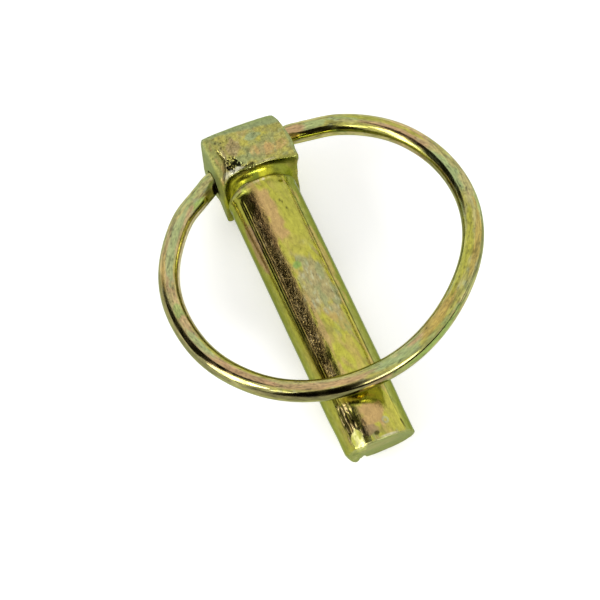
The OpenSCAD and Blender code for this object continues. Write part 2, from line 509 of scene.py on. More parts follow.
def paint_pin(p, s, finish):
    """The plating's colour, with painted highlights and painted shade, its dullness and scuffing at points on the
    pin.
    """
    x, y, z = p.T
    q = p * [1, 0.45, 1]
    broad = lumps(q, 2.6, 1.7)
    middling = lumps(q, 1.1, 5.3)
    fine = lumps(q, 0.45, 8.1)
    ragged = 0.35 * middling + 0.25 * fine
    around = np.degrees(np.arctan2(x, z))
    shank = ramp(y, 0.6, 0.2)
    front = ramp(z, 1, 2)
    coats = Coats(finish.olive, len(p))
    lay = coats.lay

    def patch(colour, share, region, a, middle, reach, edge=1.0):
        lay(colour, share * region * spot(a, y, middle, reach, edge * ragged))

    lay(finish.tan, 0.8 * ramp(broad + 0.5 * middling, 0.15, 0.6))
    lay(finish.moss, 0.75 * ramp(lumps(q, 1.5, 3.3) + 0.4 * fine, 0.1, 0.55))
    lay(finish.grey, 0.6 * ramp(lumps(q, 2.0, 6.6) + 0.5 * fine, 0.25, 0.6))
    dull = 0.15 + 0.25 * middling

    # the head
    head = ramp(y, 0.4, 0.8)
    face = head * ramp(z, 5.2, 5.5)
    lay(Film.face, 0.6 * face)
    patch(finish.tan, 0.75, face, x, (1.8, 4.0), (2.0, 1.0))
    patch(finish.tan, 0.7, face, x, (3.2, 3.6), (2.4, 1.0))
    patch(finish.olive, 0.7, face, x, (1.6, 6.0), (2.6, 0.9))
    lay(finish.moss, 0.5 * face * ramp(fine, 0.1, 0.6))
    lay(Film.face_speck, 0.5 * face * ramp(lumps(p, 0.9, 4.8) + 0.5 * fine, 0.3, 0.7))
    patch(Film.face_brown, 0.75, face, x, (-1.9, 5.9), (1.6, 1.5), 1.3)
    patch(Film.face_green, 0.7, face, x, (-0.8, 3.6), (1.5, 0.8), 1.5)
    grain = lumps(p, 0.21, 7.3)
    grit = ramp(grain + 0.4 * fine, 0.3, 0.6)
    lay(Film.dark_grit, 0.7 * face * grit * spot(x, y, (-2.9, 6.4), (1.5, 1.6), 1.5 * ragged))
    lay(Film.brown_grit, 0.45 * face * grit * ramp(x, 1.5, -0.5))
    lay(Film.face_rubbed, 0.5 * face * ramp(-grain, 0.4, 0.7))
    patch(Film.crown_patch, 0.7, face, x, (1.7, 6.4), (1.3, 0.4), 1.5)
    lap_x = np.interp(y, [0.8, 2.7, 4.2, 6.4, 9], [-4.9, -4.1, -3.6, -4.0, -4.4])
    beside_lap = ramp(x - lap_x, 0.2, -0.2)
    lay(Film.beside_lap, 0.7 * head * beside_lap)
    lay(finish.tan, 0.6 * head * beside_lap * ramp(middling + fine, 0.1, 0.6))
    lay(Film.left_side, 0.9 * head * ramp(-x, 5.0, 5.35))
    crown, roll = crown_roll(x, y, s)
    plain = np.maximum(ramp(-z, 3.8, 4.8), ramp(crown, -0.35, -0.1) * ramp(z, 3.8, 2.6))
    plain = head * np.maximum(plain, ramp(x, 5.6, 5.9) * ramp(z, 4.6, 3.8))
    lay(Film.crown, 0.9 * ramp(crown + roll + 0.3 * ragged, -0.15, 0.3) * (1 - 0.7 * plain))
    sides = head * np.maximum(ramp(x, 5.7, 6.0), ramp(-z, 4.6, 5.2))
    lay(finish.grey, 0.85 * sides * (1 - 0.6 * plain))
    dull = np.where(head > 0.5, 0.5 + 0.3 * middling, dull)
    rolled = np.maximum(beside_lap, ramp(crown + roll, -0.2, 0.3))
    dull = np.maximum(dull, head * rolled * 1.3 * (1 - 0.6 * plain))
    # painted shade in the lap's groove and a painted highlight along its lip
    lap = near_line(x, y, LAP_LINE) + 0.1 * ramp(-fine, 0, 0.5)
    lay(finish.soil_and_shade, 0.8 * face * ramp(lap + 0.05 * fine, 0.2, 0.06))
    lay(Film.lap_lip_highlight, 0.6 * face * ramp(near_line(x - 0.28, y, LAP_LINE), 0.2, 0.05))
    # the pits painted near black: real dents, with painted shade in them
    lay(Film.pit, pitting(p))
    lower_edge = ramp(near_line(x, y, UNDERSIDE), 0.34, 0.12) * head * ramp(z, 4.6, 5.2)
    # a paler colour along the underside's edge: painted highlight
    lay(Film.underside_edge_highlight, lower_edge * ramp(-x, -3.6, -2.2) * ramp(x, -1.6, -0.8))
    lay(finish.soil_and_shade, 0.9 * lower_edge * ramp(-x, 0.6, 1.2) * ramp(fine, -0.5, 0.1))
    lay(finish.moss, 0.8 * lower_edge * ramp(x, 3.0, 4.2))
    # the hammered slope painted pale cream: painted highlight
    slope = spot(x, y, (-2.6, 1.95), (1.6, 0.75), ragged) * head * ramp(z, 4.0, 4.6)
    lay(Film.hammered, slope * (0.65 + 0.5 * fine))
    scar = near_line(x, y, SCAR) + 0.14 * fine
    lay(finish.soil_and_shade, 0.95 * face * ramp(scar, 0.34, 0.14))

    # the neck and the shoulder, with painted shade and painted highlights
    neck = ramp(np.hypot(x, z), s.shank + 0.6, s.shank - 0.1) * ramp(y, 0.0, 0.2) * ramp(y, 3.2, 2.6)
    lay(Film.neck, 0.95 * neck)
    lay(Film.neck_left, 0.7 * neck * ramp(x, -2.2, -3.2))
    # the dished underside painted darker: painted shade under the head
    dish = head * ramp(dish_distance(x, y, z, s), -0.3, -0.1) * ramp(np.abs(x), 6.1, 5.6)
    lay(Film.dish, 0.8 * dish * (1 - neck))
    # painted shade on the neck under the head, and a painted highlight on it
    patch(Film.neck_shade, 0.8, neck, around, (-22, 0.7), (26, 0.55))
    patch(Film.neck_green_shade, 0.8, neck, around, (-3, 1.5), (7, 1.0))
    patch(Film.neck_highlight, 0.8, neck, around, (11, 1.4), (8, 0.7))
    dull = dull * (1 - 0.9 * neck) + neck * (0.5 + 0.3 * ramp(np.abs(x), 1.8, 3.2))
    lay(Film.neck_right_shade, 0.8 * neck * ramp(x, 1.4, 3.0))
    lay(Film.shoulder, 0.7 * (shank * ramp(-y, 1.7, 1.1) * ramp(np.abs(x), 4.8, 4.4) * ramp(z, 0, 1)))
    rise = 0.2 * ramp(-x, 0, 3)
    # a dark line in the corner where the neck meets the shoulder: painted shade
    foot_shade = ramp(np.abs(y - 0.62 - rise + 0.06 * fine), 0.16, 0.05) * ramp(-np.hypot(x, z), -4.75, -4.6)
    lay(Film.shoulder_foot_shade, 0.8 * foot_shade * front * ramp(x, 3.2, 2.0))
    # a pale cream band along the shoulder's edge: painted highlight, broken up into greener, paler and browner
    # bits
    wider = 0.2 * ramp(-x, 0.8, 2)
    edge = ramp(np.abs(y - 0.1 - rise), 0.38 + wider, 0.22 + wider)
    lay(Film.edge, 0.95 * edge * ramp(x, 2.2, 0.4) * front)
    lay(Film.edge_highlight_green, 0.8 * edge * ramp(-x, 1.6, 2.4) * front * ramp(fine, -0.4, 0.1))
    lay(Film.edge_highlight_right, 0.9 * edge * ramp(x, 2.4, 3.4) * ramp(z, 0, 1))
    highlight_breakup = fine + 0.3 * middling
    lay(Film.edge_highlight_pale, 0.8 * edge * ramp(highlight_breakup, 0.05, 0.4) * ramp(x, 1.8, 0.6) * front)
    lay(Film.edge_highlight_break, 0.7 * edge * ramp(-highlight_breakup, 0.15, 0.5) * front)
    dull = np.maximum(dull, 1.1 * edge)

    # the shank
    arc = np.radians(around) * s.shank
    slanting = np.stack([0.94 * arc + 0.34 * y, 0.25 * (0.94 * y - 0.34 * arc), 0 * y], 1)
    wiped = lumps(slanting, 0.55, 2.9) + 0.4 * fine
    top = shank * ramp(np.abs(around - 13), 32, 28)
    lay(Film.wiped, 0.7 * top * ramp(-wiped, -0.1, 0.3))
    lay(Film.wiped_amber, 0.7 * top * ramp(wiped, 0.1, 0.5))
    below = ramp(around, -160, -120)
    lay(Film.left_flank, 0.8 * (shank * ramp(around, -38, -46) * below))
    lay(Film.left_flank_grey, 0.8 * shank * ramp(around, -58, -68) * below)
    streak = shank * spot(around, y, (-30, -17), (15, 17), 0.6 * ragged)
    fleck = lumps(p * [1, 0.35, 1], 0.17, 5.9) + 0.5 * lumps(p * [1, 0.4, 1], 0.3, 1.9)
    fleck = ramp(fleck, 0.3, 0.6)
    lay(Film.streak, 0.85 * streak)
    lay(Film.streak_fleck, 0.4 * streak * fleck)
    dull = np.maximum(dull, 0.5 * streak * fleck)
    # a painted highlight below the shoulder, with a darker green fringe round it
    painted_glint_fringe = shank * ramp(-np.hypot((around + 28) / 22, (y + 0.4) / 1.0) + 0.3 * fine, -1.2, -0.2)
    lay(Film.painted_glint_fringe, 0.85 * painted_glint_fringe)
    painted_glint = shank * ramp(-np.hypot((around + 24) / 9, (y + 0.85) / 0.5) + 0.3 * fine, -1.2, 0.2)
    lay(Film.painted_glint, painted_glint)
    dull = np.maximum(dull, 1.2 * np.maximum(0.7 * painted_glint_fringe, painted_glint))
    patch(Film.red, 0.75, shank, around, (-20, -5.5), (10, 5.5))
    patch(finish.tan, 0.95, shank, around, (-4, -6.4), (11.5, 4.7))
    patch(Film.lime, 0.8, shank, around, (24, -5.5), (17, 5.0))
    patch(finish.olive, 0.8, shank, around, (4, -11.6), (24, 1.9))
    rubbed = shank * spot(around, y, (12, -17.8), (30, 5.0), ragged)
    lay(Film.rubbed, 0.9 * rubbed)
    lay(Film.rubbed_green, 0.8 * rubbed * ramp(lumps(p, 1.1, 6.1) + 0.5 * fine, 0.0, 0.5))
    scratch = ramp(lumps(p * [1, 0.4, 1], 0.24, 4.4) + 0.3 * fine, 0.42, 0.62)
    lay(Film.scratch, 0.6 * rubbed * scratch)
    patch(Film.green, 0.9, shank, around, (-4.5, -14.2), (7.5, 0.6), 0.5)
    patch(Film.shank_pink, 0.7, shank, around, (-12, -24), (4, 7))
    patch(Film.shank_amber, 0.6, shank, around, (18, -28.3), (10, 3.0), 1.5)
    lay(Film.right_flank, 0.9 * shank * ramp(around, 41, 45) * ramp(-around, -140, -100))
    patch(finish.tan, 0.5, shank, around, (50, -12), (7, 7), 2.0)
    patch(Film.shank_brown, 0.85, shank, around, (-57, -8.8), (11, 4.6))
    # dark lines along the die lines' grooves: painted shade
    line = ridge(around + 42, 1.6) + 0.8 * ridge(around - 43.3, 1.3) * ramp(y, -32, -30)
    line = line + 0.7 * ridge(around + 37.5, 1.4) + 0.6 * ridge(around + 46, 1.4)
    lay(finish.soil_and_shade, 0.75 * shank * line * ramp(-y, 2.0, 3.5) * ramp(fine + 1, 0.3, 0.9))
    nicks = near_line(x, y, [(1.2, -3.9), (1.5, -4.3)])
    nicks = np.minimum(nicks, near_line(x, y, [(1.6, -5.2), (1.8, -5.6)]))
    lay(finish.soil_and_shade, 0.8 * shank * ramp(nicks, 0.16, 0.05) * ramp(z, 3, 4))

    # the tip
    tip = ramp(-y, 34.5, 35.5) * front
    patch(finish.tan, 1.0, tip, x, (0.1, -38.1), (1.9, 2.6))
    patch(finish.olive, 0.8, tip, x, (2.9, -38.8), (1.1, 3.0))
    patch(Film.tip_brown, 0.8, tip, x, (-0.9, -40.3), (1.6, 0.7))
    # the scored band darkened where the tip mirrors the dark side: painted dark reflection, with paler real
    # scratch lines on it
    scored = tip * spot(x, y, (-2.6, -37.6), (1.4, 3.2), ragged)
    lay(finish.soil_and_shade, 0.85 * scored * (1 - ramp(lumps(p * [1, 0.2, 1], 0.26, 7.7), -0.1, 0.3)))
    scored = scored * ramp(lumps(p * [1, 0.15, 1], 0.2, 3.9), 0.1, 0.4)
    lay(Film.scored, 0.8 * scored)
    dull = np.maximum(dull, 0.5 * scored)
    round_mark = np.abs(np.hypot(x - 1.35, y + 39.8) - 0.4 + 0.15 * fine)
    lay(Film.round_mark, 0.6 * tip * ramp(round_mark, 0.22, 0.08))
    # painted shade in the pit and the gash
    lay(finish.soil_and_shade, 0.85 * ramp(tip_pits(x, y, z), -0.16, -0.02) * ramp(z, 3, 3.4))
    end = crop_distance(x, y, z, s)
    cropped = ramp(end, -0.32, -0.1)
    lay(Film.cropped, 0.9 * cropped)
    lay(Film.cropped_tan, 0.7 * cropped * spot(x, z, (-1.0, 2.0), (3.0, 2.5), ragged))
    lay(Film.under_ring, 0.9 * (tip * spot(x, y, (0.6, -35.9), (2.6, 0.9), ragged)))
    chip = tip * spot(x, y, (-2.9, -40.9), (0.75, 1.7), 0.5 * ragged)
    lay(Film.chip, chip)
    lay(Film.chip_moss, 0.8 * chip * ramp(lumps(p * [1, 0.6, 1], 0.34, 2.6) + 0.6 * fine, 0.0, 0.35))
    lay(Film.chip_moss, 0.7 * chip * ramp(x, -3.1, -3.5))
    dull = np.maximum(dull, 1.0 * chip)
    # a pale line along the edge of the cropped end: painted highlight
    crop_edge = ramp(np.abs(end + 0.28), 0.22, 0.06) * ramp(z, 3.2, 4.2)
    lay(finish.bare, 0.8 * crop_edge * ramp(x, -0.4, 0.4) * ramp(x, 2.6, 1.6))
    dull = np.maximum(dull, 0.9 * cropped)

    # the hole, painted dark inside as painted shade
    into_hole = hole_distance(p, s) - hole_radius(x, y, z, s)
    lay(finish.soil_and_shade, ramp(into_hole, 0.06, -0.02) * ramp(np.abs(x), 6.2, 5.2))
    scuff = (0.25 + 0.6 * face + 0.6 * streak + 0.6 * scored + 0.3 * rubbed) * (1 - 0.8 * chip)
    return coats.colour, np.clip(dull, 0, 1.5), scuff


def film_patches(finish):
    """Patches of film on the wire: middle in degrees round the ring and in millimetres round the wire,
    reach each way, colour and share. The last ones are painted shade and painted light."""
    yellow, pink, pale = (0.40, 0.385, 0.05), (0.485, 0.30, 0.155), (0.345, 0.43, 0.185)
    green, amber, brown = (0.21, 0.32, 0.06), (0.47, 0.335, 0.075), (0.15, 0.095, 0.015)
    cream, dark_green = (0.74, 0.63, 0.40), (0.09, 0.10, 0.02)
    return [
        (-162, 1.55, 24, 0.35, yellow, 0.85),
        (-172, 2.0, 10, 0.5, pale, 0.7),
        (-150, 2.35, 12, 0.5, pink, 0.8),
        (-120, 2.6, 18, 0.45, pink, 0.7),
        (-88, 2.7, 9, 0.5, pale, 0.7),
        (-68, 2.5, 12, 0.9, amber, 0.8),
        (-74, 4.3, 18, 0.5, green, 0.8),
        (-100, 4.2, 5, 0.4, pink, 0.7),
        (-128, 4.4, 24, 0.5, finish.moss, 0.6),
        (-38, 2.1, 18, 0.55, yellow, 0.85),
        (-35, 3.45, 18, 0.4, amber, 0.8),
        (-42, 4.2, 20, 0.2, (0.10, 0.095, 0.02), 0.75),
        (-46, 1.15, 14, 0.22, dark_green, 0.75),
        (-21, 0.78, 14, 0.24, dark_green, 0.75),
        (2, 0.4, 13, 0.24, (0.09, 0.08, 0.02), 0.75),
        (0, 2.2, 14, 0.7, pale, 0.85),
        (-4, 1.15, 12, 0.3, brown, 0.8),
        (-4, 3.7, 10, 0.35, (0.33, 0.24, 0.12), 0.7),
        (27, 2.0, 16, 0.35, pink, 0.7),
        (28, 2.75, 20, 0.4, yellow, 0.8),
        (62, 2.05, 4, 0.7, pale, 0.7),
        (71, 2.0, 5, 0.7, pink, 0.8),
        (118, 0.9, 4, 0.5, (0.30, 0.46, 0.09), 0.7),
        (138, 1.2, 6, 0.35, pink, 0.7),
        (138, 1.95, 14, 0.6, pale, 0.75),
        (168, 1.05, 14, 0.3, yellow, 0.7),
        (170, 1.75, 4, 0.6, (0.27, 0.40, 0.11), 0.7),
        (150, 2.9, 12, 0.35, amber, 0.6),
        # dark lines beside the highlight and darker outer sides: painted shade
        (-122, 4.2, 24, 0.5, (0.08, 0.075, 0.03), 0.7),
        (-122, 3.85, 26, 0.25, (0.13, 0.11, 0.04), 0.7),
        (-122, 3.55, 26, 0.17, (0.07, 0.055, 0.02), 0.85),
        (-165, 3.9, 20, 0.5, (0.15, 0.14, 0.05), 0.7),
        (165, 3.35, 18, 0.4, (0.20, 0.17, 0.06), 0.75),
        (132, 3.0, 20, 0.4, (0.28, 0.26, 0.11), 0.6),
        # paler inner side where little light reaches: painted light
        (140, 0.45, 26, 0.6, cream, 0.85),
        (167, 0.9, 14, 0.4, (0.62, 0.54, 0.30), 0.7),
    ]


def paint_ring(along, around, finish):
    """The plating's colour, with painted shade and painted light, its dullness and scuffing along the wire and
    around it, both in millimetres.
    """
    ring = off_the_wire(along, around)
    drawn = ring * [0.09, 1, 1]
    q = ring * [0.3, 1, 1]
    fine = lumps(q, 0.4, 8.1)
    turned = np.degrees((along.max() / 2 - along) / RING_RADIUS) - 90
    far_left = ramp(np.abs(turned + 120), 75, 55)
    lower_right = ramp(np.abs(turned + 38), 24, 14)
    upper_right = ramp(np.abs(turned - 30), 50, 30)
    coats = Coats(finish.straw, len(q))
    lay = coats.lay
    lay(finish.olive, 0.8 * ramp(lumps(drawn, 1.0, 9.9) + 0.3 * fine, 0.0, 0.4))
    pink = lumps(drawn, 0.9, 1.7) + 0.35 * fine + 0.3 * far_left - 0.5 * lower_right
    lay(Film.wire_pink, 0.9 * ramp(pink, 0.0, 0.4))
    lay(finish.moss, 0.6 * ramp(lumps(drawn, 0.7, 5.3) + 0.4 * fine, 0.2, 0.6))
    green = lumps(drawn, 0.8, 3.3) + 0.4 * fine + 0.35 * lower_right + 0.15 * upper_right - 0.2 * far_left
    lay(Film.wire_green, 0.75 * ramp(green, 0.25, 0.6))
    pale = lumps(ring * [0.5, 1, 1], 0.5, 6.6) + 0.4 * fine + 0.3 * lower_right
    lay(Film.wire_pale, 0.5 * ramp(pale, 0.4, 0.7))
    yellow = ramp(np.abs(turned + 48), 30, 18) * ramp(np.abs(around), 1.9, 1.2)
    lay(Film.wire_yellow, 0.7 * yellow)
    # the outer side of the wire on the lower left painted darker: painted shade
    outside = ramp(np.abs(around), 3.0, 3.6) * ramp(np.abs(turned + 147), 84, 62)
    lay(Film.wire_outside_shade, 0.75 * outside)
    streaky = 0.45 * lumps(drawn, 0.7, 4.1) + 0.3 * fine
    half = math.pi * WIRE_RADIUS
    for angle_round, place, reach, width, film, share in film_patches(finish):
        aside = (turned - angle_round + 180) % 360 - 180
        round_wire = (around - place + half) % (2 * half) - half
        lay(film, share * spot(aside, round_wire, (0, 0), (reach, width), streaky))
    scale = lumps(q * [1.6, 1, 1], 0.26, 2.2) + 0.5 * lumps(q, 2.5, 4.2)
    lay(finish.soil_and_shade, 0.3 * ramp(scale, 0.6, 0.8))
    return coats.colour, np.clip(0.3 + 0.4 * fine, 0, 1), np.ones(len(q))


def off_the_wire(along, around):
    """Points of a straight wire, from the places along it and around it."""
    turn = around / WIRE_RADIUS
    return np.stack([along, WIRE_RADIUS * np.cos(turn), WIRE_RADIUS * np.sin(turn)], 1)


class Sizes:
    """The pin's sizes in millimetres, from the settings and the frame."""

    def __init__(self, settings):
        low, high = (np.array(corner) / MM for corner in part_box("pin_body"))
        self.low, self.high = low, high
        self.shank = SHANK["dims"]["r_mm"]
        self.dish_slope = settings.dish_slope
        self.skew = settings.crown_skew
        self.slant = settings.crop_slant
        lengths = "neck_radius rim_y crown full_corner sharp_corner side_edge hole_radius"
        for name in lengths.split():
            setattr(self, name, getattr(settings, name) / MM)
        self.top_y = high[1] - 0.06
        self.crop_y = -low[1] - self.shank * math.tan(self.slant)
        self.hinge = np.array(HINGE["pos_m"]) / MM
        self.axis = np.array(HINGE["axis"]) / np.linalg.norm(HINGE["axis"])


CORNERS = [(i, j, k) for i in (0, 1) for j in (0, 1) for k in (0, 1)]
EDGES = [(a, b) for a in CORNERS for b in CORNERS if sorted(v - u for u, v in zip(a, b)) == [0, 0, 1]]


def skin(form, axes):
    """A closed mesh of quads round everything where form is below 0, on a grid with the given steps."""
    shape = tuple(len(a) for a in axes)
    value = np.empty(shape)
    gx, gz = np.meshgrid(axes[0], axes[2], indexing="ij")
    for j, y in enumerate(axes[1]):
        points = np.stack([gx.ravel(), np.full(gx.size, y), gz.ravel()], 1)
        layer = form(points, True)
        near = np.abs(layer) < 1.2
        if near.any():
            layer[near] = form(points[near])
        value[:, j, :] = layer.reshape(gx.shape)
    inside = value < 0
    cells = tuple(n - 1 for n in shape)

    def corner(array, offset):
        return array[tuple(slice(o, o + n) for o, n in zip(offset, cells))]

    count = sum(corner(inside, o).astype(np.int8) for o in CORNERS)
    at = np.argwhere((count > 0) & (count < 8))
    number = np.full(cells, -1)
    number[tuple(at.T)] = np.arange(len(at))
    total = np.zeros((len(at), 3))
    crossings = np.zeros(len(at))
    for a, b in EDGES:
        ia, ib = at + a, at + b
        va, vb = value[tuple(ia.T)], value[tuple(ib.T)]
        cross = (va < 0) != (vb < 0)
        t = np.where(cross, va / np.where(cross, va - vb, 1), 0)
        for k in range(3):
            pa, pb = axes[k][ia[:, k]], axes[k][ib[:, k]]
            total[:, k] += np.where(cross, pa + t * (pb - pa), 0)
        crossings += cross
    points = total / crossings[:, None]
    faces = []
    for axis in range(3):
        b, c = (axis + 1) % 3, (axis + 2) % 3
        step = np.eye(3, dtype=int)
        between = [slice(1, n - 1) for n in shape]
        between[axis] = slice(0, -1)
        here = inside[tuple(between)]
        between[axis] = slice(1, None)
        there = inside[tuple(between)]
        grid = np.argwhere(here != there) + step[b] + step[c]
        ring = [number[tuple((grid - s).T)] for s in (0 * step[b], step[b], step[b] + step[c], step[c])]
        quads = np.stack(ring, 1)
        flip = here[tuple((grid - step[b] - step[c]).T)]
        faces.append(np.where(flip[:, None], quads, quads[:, ::-1]))
    return points, np.concatenate(faces)


def settle(form, points, rounds=3, step=0.01):
    """Moves points onto the surface, down the slope of the distance."""
    for _ in range(rounds):
        value = form(points)
        slope = np.stack([(form(points + step * e) - value) / step for e in np.eye(3)], 1)
        points = points - slope * (value / np.maximum((slope**2).sum(1), 0.2))[:, None]
    return points


def keep_finish(piece, finish, grain):
    """Stores the painted colour, the dullness, the scuffing and the grain direction on a piece's points."""
    colour, dull, scuff = finish
    rgba = np.concatenate([np.clip(colour, 0, 1), dull[:, None]], 1)
    for name, kind, part, values in (
        ("scuff", "FLOAT", "value", scuff),
        ("film", "FLOAT_COLOR", "color", rgba),
        ("lay", "FLOAT_VECTOR", "vector", grain * MM),
    ):
        attribute = piece.data.attributes.new(name, kind, "POINT")
        attribute.data.foreach_set(part, values.astype(np.float32).ravel())


# ---------------- finishes


def plating(name, dents, peel, gloss, clear):
    """Yellow zinc on steel: the painted film, broken up by fine mottling, specks and dents.

    dents and peel are the depth and the size of the fine relief, gloss is the least roughness and clear
    the weight of the sealer on top.
    """
    plain = 1.01
    material, net = blank(name)
    film = net.add("ShaderNodeAttribute", {"attribute_name": "film"})
    dull = net.add("ShaderNodeAttribute", {"attribute_name": "film"}, output=3)
    lay = net.add("ShaderNodeAttribute", {"attribute_name": "lay"}, output=1)
    scuff = net.add("ShaderNodeAttribute", {"attribute_name": "scuff"}, output=2)
    mottle = net.grain(lay, 0.55 * MM, detail=4, rough=0.65, warp=0.5)
    speck = net.grain(lay, 0.3 * MM, detail=3, rough=0.6)
    flaws = net.step(speck, 0.60, 0.72) * 0.4 - net.step(speck, 0.42, 0.30) * 0.5
    dust = net.grain(lay, 0.17 * MM, detail=1)
    tone = (mottle - 0.5) * (scuff * 0.9 + 0.9) + (dust - 0.5) * scuff * 0.7
    tone = tone + plain + flaws * (scuff * 0.8 + 0.2)
    colour = net.shaded(film, tone)
    relief = net.grain(lay, peel, detail=4, rough=0.65) * scuff
    bump = net.add("ShaderNodeBump", {}, {"Strength": 1.0, "Distance": dents, "Height": relief})
    rough = dull * 0.30 + (mottle - 0.5) * 0.15 + gloss
    shader = net.add(
        "ShaderNodeBsdfPrincipled",
        {},
        {
            "Base Color": colour,
            "Metallic": 1.0,
            "Roughness": rough,
            "Specular Tint": (0.52, 0.58, 0.38, 1),
            "Coat Weight": clear,
            "Coat Roughness": 0.06,
            "Normal": bump,
        },
    )
    net.add("ShaderNodeOutputMaterial", {}, {"Surface": shader})
    return material


# ---------------- operators


class LYNCHPIN_OT_pin(bpy.types.Operator):
    """Forge the head and shank as one piece"""

    bl_idname = "lynchpin.pin"
    bl_label = "Make pin"

    def execute(self, context):
        settings = context.scene.lynchpin_pin
        s = Sizes(settings)
        cell, long_cell = settings.cell / MM, settings.long_cell / MM

        def form(points, bare=False):
            return form_of_pin(points, s, bare)

        # long cells along the plain middle of the shank, small ones on the tip and the head
        plain_from, plain_to = -33.5, -1.0
        count = round((plain_to - plain_from) / long_cell)
        low, high = s.low - 0.7, s.high + 0.5
        tip = np.arange(low[1], plain_from, cell)
        middle = np.linspace(plain_from, plain_to, count, endpoint=False)
        head = np.arange(plain_to, high[1], cell)
        along = np.concatenate([tip, middle, head])
        axes = [np.arange(low[0], high[0], cell), along, np.arange(low[2], high[2], cell)]
        points, faces = skin(form, axes)
        points = settle(form, points)
        piece = mesh_object("forged_pin", (points * MM).tolist(), faces=faces.tolist())
        piece.data.shade_smooth()
        piece.data.validate()
        finish = paint_pin(points, s, context.scene.lynchpin_finish)
        stretch = np.where(points[:, 1:2] < 0.5, 0.5, 1.0) * [0, 1, 0] + [1, 0, 1]
        keep_finish(piece, finish, points * stretch)
        material = plating("pin plating", dents=0.06 * MM, peel=0.30 * MM, gloss=0.09, clear=0.0)
        piece.data.materials.append(material)
        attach(piece, "pin")
        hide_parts("pin_body")
        return {"FINISHED"}


def ring_frame():
    """The hole's direction, the way from the hinge to the ring's middle, the ring's normal and the hinge's
    place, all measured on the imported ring."""
    hole = -Vector(HINGE["axis"]).normalized()
    hinge = np.array(HINGE["pos_m"])
    mesh = frame["nodes"]["spring_ring"].data
    points = np.array([v.co for v in mesh.vertices])
    far = points[np.linalg.norm(points - hinge, axis=1) > 12 * MM]
    normal = Vector(np.linalg.svd(far - far.mean(0), full_matrices=False)[2][2])
    normal *= math.copysign(1, normal.z)
    normal = (normal - hole * normal.dot(hole)).normalized()
    return hole, hole.cross(normal), normal, Vector(hinge)


# degrees round the ring, and how far out of round it wanders there in millimetres
WANDER = [(-180, -0.21), (-150, -0.17), (-140, 0.02), (-115, 0.28), (-88, 0.2), (-75, -0.07), (-58, -0.3)]
WANDER += [(-46, -0.18), (-30, 0.07), (-18, 0.09), (0, 0.03), (15, 0.02), (30, 0.14), (60, -0.05)]
WANDER += [(72, 0.11), (90, 0.0), (124, 0.2), (137, 0.12), (150, 0.2), (165, 0.0), (175, -0.2)]
WANDER += [(180, -0.21)]


def hand_bend(turn):
    """How far the hand-bent ring wanders out of round at an angle, in metres."""
    angles, amounts = zip(*WANDER)
    near = math.degrees(turn) + np.array([-6, -3, 0, 3, 6])
    return float(np.interp(near, angles, amounts, period=360).mean()) * MM


def sag(x):
    """How far the ring lies below its circle on both sides of the head."""
    return 0.38 * MM * float(ramp(x, 5.8 * MM, 8.0 * MM) * ramp(x, 13 * MM, 9 * MM))


def ring_path(settings):
    """Points along the middle of the wire, from one end in the hole round to the other."""
    hole, drop, normal, hinge = ring_frame()
    r = settings.across / 2
    chord = settings.chord
    fall = math.sqrt(r * r - chord * chord)
    bend = settings.bend
    reach = math.sqrt((r - bend) ** 2 - (fall - bend) ** 2)
    turn = math.pi / 2 - math.atan2(fall - bend, reach)
    half = [(x, 0.0) for x in np.linspace(settings.end_gap / 2, reach, 10, endpoint=False)]
    for t in np.linspace(0, turn, 24, endpoint=False):
        half.append((reach + bend * math.sin(t), -bend + bend * math.cos(t)))
    big = []
    start = math.pi / 2 - turn
    for t in np.linspace(start, -math.pi - start, 800):
        from_end = min(abs(t - start), abs(t + math.pi + start))
        wander = hand_bend((t + math.pi) % (2 * math.pi) - math.pi)
        out = r + wander * math.sin(min(1, 3 * from_end) * math.pi / 2)
        big.append((out * math.cos(t), -fall + out * math.sin(t)))
    flat = half + big + [(-x, y) for x, y in reversed(half)]
    flat = [(x, y - sag(abs(x)) if y > -fall else y) for x, y in flat]
    return [hinge + hole * x - drop * y for x, y in flat]


class LYNCHPIN_OT_ring(bpy.types.Operator):
    """Bend the wire ring and set its ends in the cross hole"""

    bl_idname = "lynchpin.ring"
    bl_label = "Make ring"

    def execute(self, context):
        settings = context.scene.lynchpin_ring
        path = ring_path(settings)
        piece = mesh_object("wire_ring", path, edges=[(i, i + 1) for i in range(len(path) - 1)])
        material = plating("ring plating", dents=0.005 * MM, peel=0.5 * MM, gloss=0.06, clear=0.3)
        bake_nodes(piece, wire_sweep(material), {"Wire radius": settings.wire / 2, "Sides": settings.sides})
        along, around = wire_places(piece.data, path)
        finish = paint_ring(along, around, context.scene.lynchpin_finish)
        keep_finish(piece, finish, off_the_wire(along * 0.25, around))
        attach(piece, "ring")
        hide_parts("spring_ring")
        return {"FINISHED"}


def wire_places(mesh, path):
    """How far along the path and how far round the wire each point lies, in millimetres."""
    points = np.array([v.co for v in mesh.vertices]) / MM
    line = np.array([list(v) for v in path]) / MM
    lengths = np.concatenate([[0], np.cumsum(np.linalg.norm(np.diff(line, axis=0), axis=1))])
    normal = np.array(ring_frame()[2])
    along, around = np.empty(len(points)), np.empty(len(points))
    batch = 2000
    for first in range(0, len(points), batch):
        some = slice(first, first + batch)
        part = points[some]
        nearest = np.linalg.norm(part[:, None] - line[None], axis=2).argmin(1)
        ahead = line[np.minimum(nearest + 1, len(line) - 1)] - line[np.maximum(nearest - 1, 0)]
        ahead /= np.linalg.norm(ahead, axis=1)[:, None]
        off = part - line[nearest]
        aside = np.cross(ahead, normal)
        along[some] = lengths[nearest]
        around[some] = WIRE_RADIUS * np.arctan2(off @ normal, (off * aside).sum(1))
    return along, around


